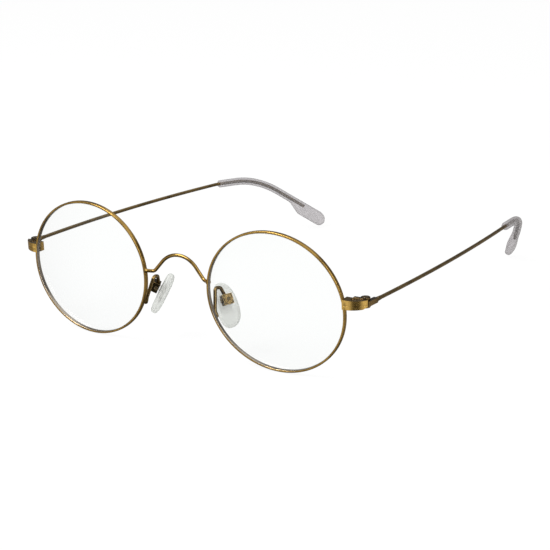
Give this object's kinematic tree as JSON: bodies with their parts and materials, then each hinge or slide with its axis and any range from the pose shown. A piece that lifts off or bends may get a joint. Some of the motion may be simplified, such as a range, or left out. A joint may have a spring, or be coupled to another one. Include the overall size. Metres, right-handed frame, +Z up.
{
  "type": "eyeglass frame",
  "caption": "Rounded oval wire eyeglasses with an arched bridge, rocking nose pads and hinged temples ending in clear plastic tips.",
  "frame": {"origin": "middle of the frame from side to side and from front to back, on the surface that the open frame stands on", "axes": "+X towards the wearer's left, +Y back along the temples towards the ears, +Z up"},
  "size_m": [0.1282, 0.1499, 0.0432],
  "materials": {
    "brass": "antique brass plating, satin, darker in its corners",
    "temple_brass": "antique brass wire, satin",
    "dark_brass": "darker antique brass with worn edges",
    "screw_metal": "small turned screws, slightly yellowed",
    "clear_lens": "clear and polished",
    "clear_tip": "translucent, faintly lilac grey, glossy",
    "clear_pad": "translucent silicone, soft sheen",
    "pad_core": "clear hard plastic inside the silicone"
  },
  "bodies": {
    "front": {"bridge": "brass", "left_rim": "brass", "left_lens": "clear_lens", "left_closing_block_upper": "brass", "left_closing_block_lower": "brass", "left_closing_screw": "screw_metal", "left_front_hinge": "brass", "left_hinge_screw": "screw_metal", "left_pad_arm": "dark_brass", "left_pad_box": "dark_brass", "left_pad_screw": "screw_metal", "right_rim": "brass", "right_lens": "clear_lens", "right_closing_block_upper": "brass", "right_closing_block_lower": "brass", "right_closing_screw": "screw_metal", "right_front_hinge": "brass", "right_hinge_screw": "screw_metal", "right_pad_arm": "dark_brass", "right_pad_box": "dark_brass", "right_pad_screw": "screw_metal"},
    "left_temple_arm": {"left_temple_hinge": "brass", "left_temple": "temple_brass", "left_temple_tip": "clear_tip"},
    "left_pad": {"left_pad_insert": "pad_core", "left_nose_pad": "clear_pad"},
    "right_temple_arm": {"right_temple_hinge": "brass", "right_temple": "temple_brass", "right_temple_tip": "clear_tip"},
    "right_pad": {"right_pad_insert": "pad_core", "right_nose_pad": "clear_pad"}
  },
  "joints": [
    {"name": "left_temple_fold", "type": "hinge", "parent": "front", "child": "left_temple_arm", "pos_m": [0.06192, -0.06657, 0.02459], "axis": [0.0023, -0.0383, 0.9993], "range_deg": [0, 82]},
    {"name": "left_pad_tilt", "type": "hinge", "parent": "front", "child": "left_pad", "pos_m": [0.0132, -0.06652, 0.0172], "axis": [-0.4976, -0.8619, -0.0974], "range_deg": [-8, 8]},
    {"name": "right_temple_fold", "type": "hinge", "parent": "front", "child": "right_temple_arm", "pos_m": [-0.06192, -0.06657, 0.02459], "axis": [0.0023, 0.0383, -0.9993], "range_deg": [0, 76]},
    {"name": "right_pad_tilt", "type": "hinge", "parent": "front", "child": "right_pad", "pos_m": [-0.0132, -0.06652, 0.0172], "axis": [-0.4976, 0.8619, 0.0974], "range_deg": [-8, 8]}
  ]
}
